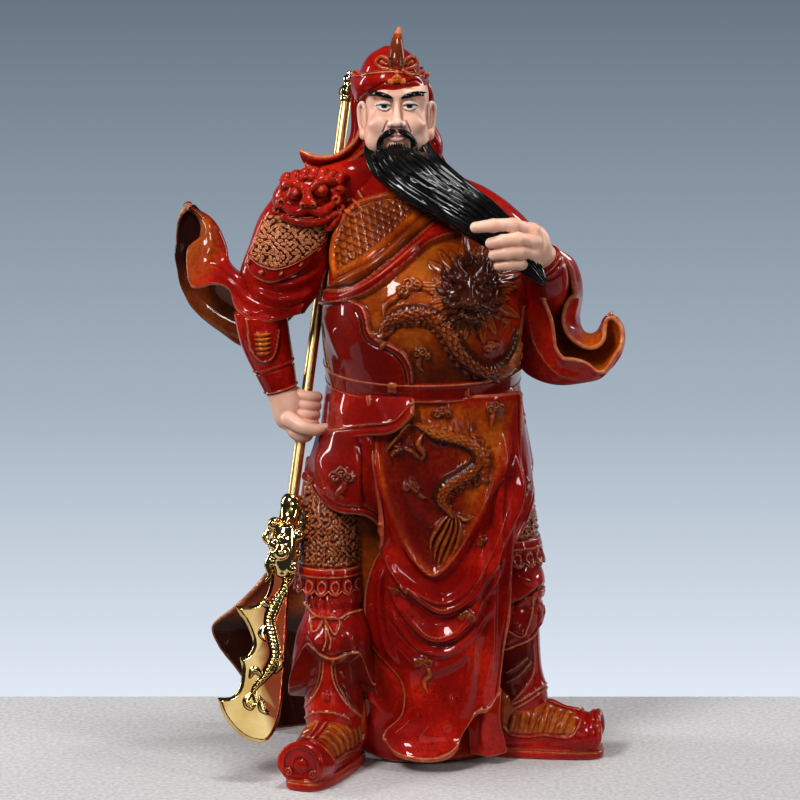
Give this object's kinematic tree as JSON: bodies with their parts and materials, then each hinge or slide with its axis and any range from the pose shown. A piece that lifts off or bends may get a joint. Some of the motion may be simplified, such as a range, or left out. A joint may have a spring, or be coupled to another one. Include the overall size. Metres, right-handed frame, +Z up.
{
  "type": "guan yu statue",
  "caption": "Standing glazed ceramic general in belted robe and armour, stroking his long beard, with a removable gilt crescent-bladed polearm through the right fist.",
  "frame": {"origin": "on the floor plane under the robe, 21 mm to the right hand's side of the middle of the robe's foot", "axes": "+Z up from the floor to the crest, -Y to the front of the figure, +X to the figure's left hand"},
  "size_m": [0.2949, 0.1817, 0.4807],
  "materials": {
    "red_glaze": "deep red glossy glaze with fine dark speckle",
    "amber_glaze": "glossy amber to brown glaze that thins to tan on raised edges",
    "skin_glaze": "satin flesh-coloured glaze",
    "black_glaze": "glossy black glaze",
    "gilt": "mirror gold plating"
  },
  "bodies": {
    "root": {"figure": "red_glaze", "polearm_shaft": "gilt", "polearm_blade": "gilt", "polearm_pommel": "gilt"}
  },
  "joints": []
}
